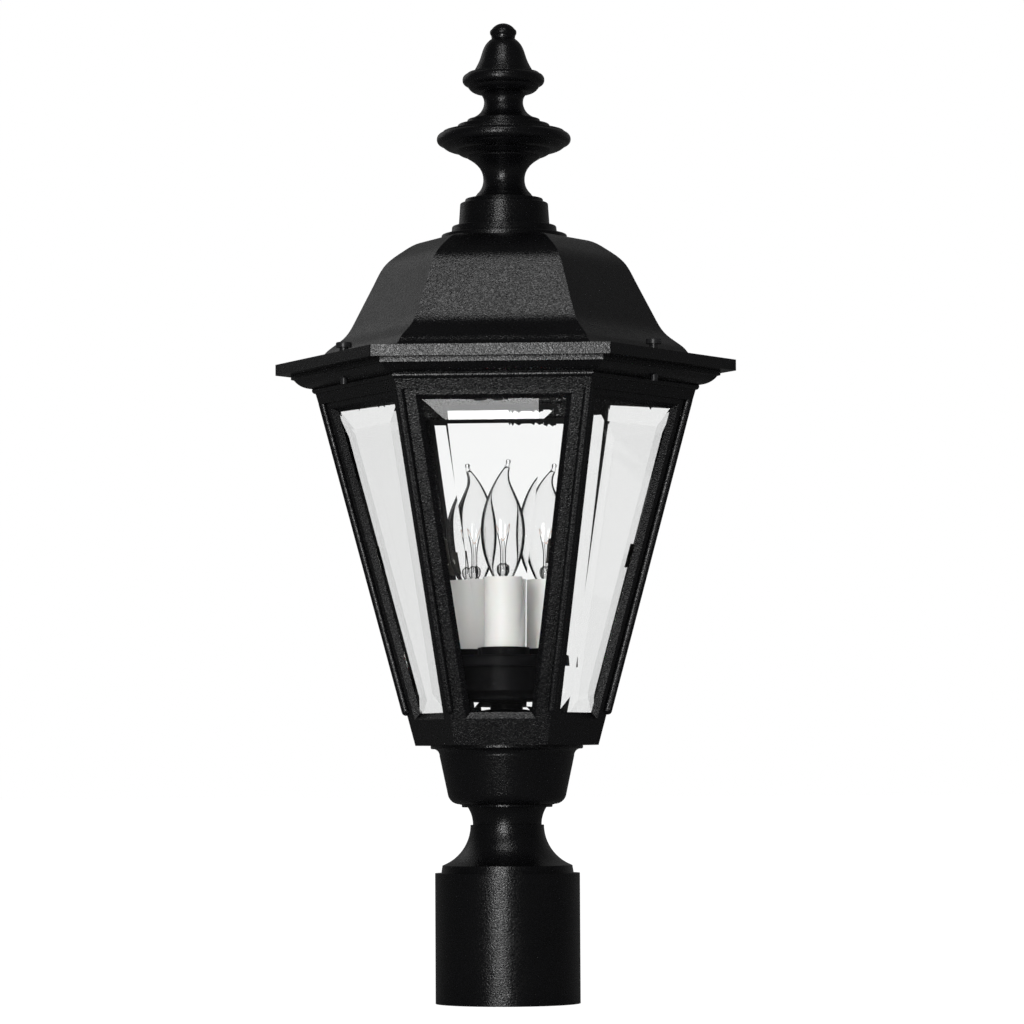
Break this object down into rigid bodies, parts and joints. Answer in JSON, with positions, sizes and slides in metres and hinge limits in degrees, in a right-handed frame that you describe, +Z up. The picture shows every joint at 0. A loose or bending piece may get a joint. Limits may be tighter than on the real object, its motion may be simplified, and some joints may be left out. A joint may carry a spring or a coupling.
{
  "type": "post top lantern",
  "caption": "Hexagonal post top lantern with tapered bevelled-glass cage, flared ogee roof, turned finial, candle cluster with flame bulbs and a round post fitter.",
  "frame": {"origin": "centre of the collar's lower rim, on the ground of the bounding box", "axes": "+Z up the post axis, towards the finial; -Y out of the front window"},
  "size_m": [0.2702, 0.2342, 0.5733],
  "materials": {
    "black_casting": "black textured powder coat on cast aluminium",
    "black_screws": "black coated steel, satin",
    "plated_steel": "zinc plated steel",
    "earth_screw": "green painted steel",
    "pane_glass": "clear bevelled glass, polished",
    "sealant": "black sealant",
    "candle_sleeve": "off-white plastic, satin",
    "socket_plastic": "moulded phenolic, matte",
    "brass_contact": "bare brass",
    "lamp_glass": "clear blown glass",
    "lamp_cap": "lacquered brass",
    "lamp_mount": "clear glass stem with nickel lead wires and a bare tungsten filament"
  },
  "bodies": {
    "root": {"post_fitter": "black_casting", "bowl": "black_casting", "cage": "black_casting", "cornice": "black_casting", "canopy": "black_casting", "cluster_body": "black_casting", "cluster_cover": "black_casting", "candle_cup_1": "black_casting", "candle_cup_2": "black_casting", "candle_cup_3": "black_casting", "nipple": "plated_steel", "nipple_nuts": "plated_steel", "nipple_washers": "plated_steel", "clip_screws": "plated_steel", "cornice_screws": "plated_steel", "socket_nipples": "plated_steel", "socket_nuts": "plated_steel", "socket_brackets": "plated_steel", "glass_clips": "plated_steel", "ground_screw": "earth_screw", "glass_1": "pane_glass", "glass_2": "pane_glass", "glass_3": "pane_glass", "glass_4": "pane_glass", "glass_5": "pane_glass", "glass_6": "pane_glass", "glass_seals": "sealant", "socket_contacts": "brass_contact", "candle_sleeve_1": "candle_sleeve", "socket_body_1": "socket_plastic", "socket_shell_1": "brass_contact", "candle_sleeve_2": "candle_sleeve", "socket_body_2": "socket_plastic", "socket_shell_2": "brass_contact", "candle_sleeve_3": "candle_sleeve", "socket_body_3": "socket_plastic", "socket_shell_3": "brass_contact"},
    "roof": {"roof": "black_casting", "finial_base": "black_casting", "finial_stem": "black_casting", "finial_top": "black_casting", "finial_rod": "plated_steel", "finial_washer": "plated_steel", "finial_nut": "plated_steel"},
    "roof_screw_1": {"roof_screw_1": "black_screws"},
    "roof_screw_2": {"roof_screw_2": "black_screws"},
    "roof_screw_3": {"roof_screw_3": "black_screws"},
    "bulb_1": {"bulb_glass_1": "lamp_glass", "bulb_cap_1": "lamp_cap", "bulb_mount_1": "lamp_mount"},
    "bulb_2": {"bulb_glass_2": "lamp_glass", "bulb_cap_2": "lamp_cap", "bulb_mount_2": "lamp_mount"},
    "bulb_3": {"bulb_glass_3": "lamp_glass", "bulb_cap_3": "lamp_cap", "bulb_mount_3": "lamp_mount"},
    "set_screw_front": {"set_screw_front": "black_screws"},
    "set_screw_right": {"set_screw_right": "black_screws"},
    "set_screw_left": {"set_screw_left": "black_screws"}
  },
  "joints": [
    {"name": "roof_lift", "type": "slide", "parent": "root", "child": "roof", "axis": [0, 0, 1], "range_m": [0, 0.08]},
    {"name": "roof_screw_1_out", "type": "slide", "parent": "roof", "child": "roof_screw_1", "axis": [0, 0, 1], "range_m": [0, 0.018]},
    {"name": "roof_screw_2_out", "type": "slide", "parent": "roof", "child": "roof_screw_2", "axis": [0, 0, 1], "range_m": [0, 0.018]},
    {"name": "roof_screw_3_out", "type": "slide", "parent": "roof", "child": "roof_screw_3", "axis": [0, 0, 1], "range_m": [0, 0.018]},
    {"name": "bulb_1_out", "type": "slide", "parent": "root", "child": "bulb_1", "axis": [0, 0, 1], "range_m": [0, 0.032]},
    {"name": "bulb_2_out", "type": "slide", "parent": "root", "child": "bulb_2", "axis": [0, 0, 1], "range_m": [0, 0.032]},
    {"name": "bulb_3_out", "type": "slide", "parent": "root", "child": "bulb_3", "axis": [0, 0, 1], "range_m": [0, 0.032]},
    {"name": "set_screw_front_in", "type": "slide", "parent": "root", "child": "set_screw_front", "axis": [0, 1, 0], "range_m": [0, 0.002]},
    {"name": "set_screw_right_in", "type": "slide", "parent": "root", "child": "set_screw_right", "axis": [-0.866, -0.5, 0], "range_m": [0, 0.002]},
    {"name": "set_screw_left_in", "type": "slide", "parent": "root", "child": "set_screw_left", "axis": [0.866, -0.5, 0], "range_m": [0, 0.002]}
  ]
}
